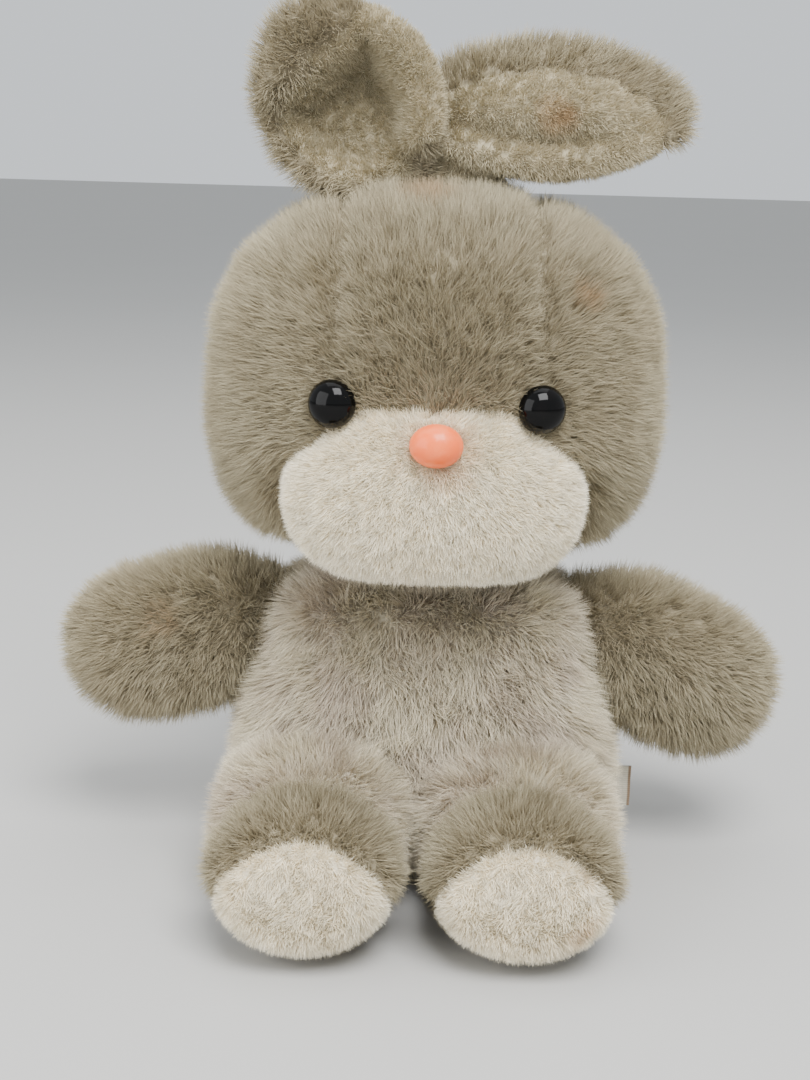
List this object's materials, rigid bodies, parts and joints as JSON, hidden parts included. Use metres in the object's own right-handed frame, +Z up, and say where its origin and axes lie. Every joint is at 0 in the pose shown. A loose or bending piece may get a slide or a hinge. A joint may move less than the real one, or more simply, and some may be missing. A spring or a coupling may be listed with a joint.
{
  "type": "plush rabbit",
  "caption": "Seated plush rabbit with a broad head, cupped ears, soft arms and legs that turn in their seams, and safety eyes and nose.",
  "frame": {"origin": "middle of the flat seat, on the surface that the rabbit sits on", "axes": "+Z up, the face looks along -Y, the rabbit's own left side is +X"},
  "size_m": [0.2361, 0.1843, 0.273],
  "materials": {
    "tan_plush": "matte",
    "grey_plush": "matte",
    "cream_plush": "matte",
    "fibre_fill": "matte",
    "satin_label": "satin",
    "black_plastic": "gloss",
    "pink_plastic": "satin",
    "clear_plastic": "satin"
  },
  "bodies": {
    "torso": {"torso_front_panel": "grey_plush", "torso_back_panel": "grey_plush", "seat_base_panel": "grey_plush", "torso_stuffing": "fibre_fill", "tail_cover": "cream_plush", "tail_stuffing": "fibre_fill", "side_label": "satin_label"},
    "neck": {"neck_stuffing": "fibre_fill"},
    "head": {"head_gusset_panel": "tan_plush", "head_left_panel": "tan_plush", "head_right_panel": "tan_plush", "chin_panel": "tan_plush", "muzzle_panel": "cream_plush", "head_stuffing": "fibre_fill", "eye_left": "black_plastic", "eye_right": "black_plastic", "eye_left_washer": "clear_plastic", "eye_right_washer": "clear_plastic", "nose": "pink_plastic", "nose_washer": "clear_plastic"},
    "ear_left": {"ear_left_lining": "cream_plush", "ear_left_back": "tan_plush"},
    "ear_right": {"ear_right_lining": "cream_plush", "ear_right_back": "tan_plush"},
    "arm_left": {"arm_left_front_panel": "tan_plush", "arm_left_back_panel": "tan_plush", "arm_left_stuffing": "fibre_fill"},
    "arm_right": {"arm_right_front_panel": "tan_plush", "arm_right_back_panel": "tan_plush", "arm_right_stuffing": "fibre_fill"},
    "leg_left": {"leg_left_sleeve_panel": "grey_plush", "foot_left_upper_panel": "tan_plush", "foot_left_sole": "cream_plush", "leg_left_stuffing": "fibre_fill"},
    "leg_right": {"leg_right_sleeve_panel": "grey_plush", "foot_right_upper_panel": "tan_plush", "foot_right_sole": "cream_plush", "leg_right_stuffing": "fibre_fill"}
  },
  "joints": [
    {"name": "neck_turn", "type": "hinge", "parent": "torso", "child": "neck", "pos_m": [0, 0, 0.094], "axis": [0, 0, 1], "range_deg": [-25, 25], "stiffness_Nm_per_rad": 1},
    {"name": "neck_nod", "type": "hinge", "parent": "neck", "child": "head", "pos_m": [0, 0, 0.094], "axis": [1, 0, 0], "range_deg": [-10, 10], "stiffness_Nm_per_rad": 1.5},
    {"name": "ear_left_flop", "type": "hinge", "parent": "head", "child": "ear_left", "pos_m": [0.008, 0, 0.2145], "axis": [1, 0, 0], "range_deg": [-12, 12], "stiffness_Nm_per_rad": 0.05},
    {"name": "ear_right_flop", "type": "hinge", "parent": "head", "child": "ear_right", "pos_m": [-0.008, 0, 0.2145], "axis": [1, 0, 0], "range_deg": [-12, 12], "stiffness_Nm_per_rad": 0.05},
    {"name": "arm_left_lift", "type": "hinge", "parent": "torso", "child": "arm_left", "pos_m": [0.052, 0, 0.076], "axis": [0, -1, 0], "range_deg": [0, 20], "stiffness_Nm_per_rad": 0.2},
    {"name": "arm_right_lift", "type": "hinge", "parent": "torso", "child": "arm_right", "pos_m": [-0.052, 0, 0.076], "axis": [0, 1, 0], "range_deg": [-5, 20], "stiffness_Nm_per_rad": 0.2},
    {"name": "leg_left_lift", "type": "hinge", "parent": "torso", "child": "leg_left", "pos_m": [0.031, -0.038, 0.022], "axis": [-1, 0, 0], "range_deg": [0, 25], "stiffness_Nm_per_rad": 0.3},
    {"name": "leg_right_lift", "type": "hinge", "parent": "torso", "child": "leg_right", "pos_m": [-0.031, -0.038, 0.022], "axis": [-1, 0, 0], "range_deg": [0, 25], "stiffness_Nm_per_rad": 0.3}
  ]
}
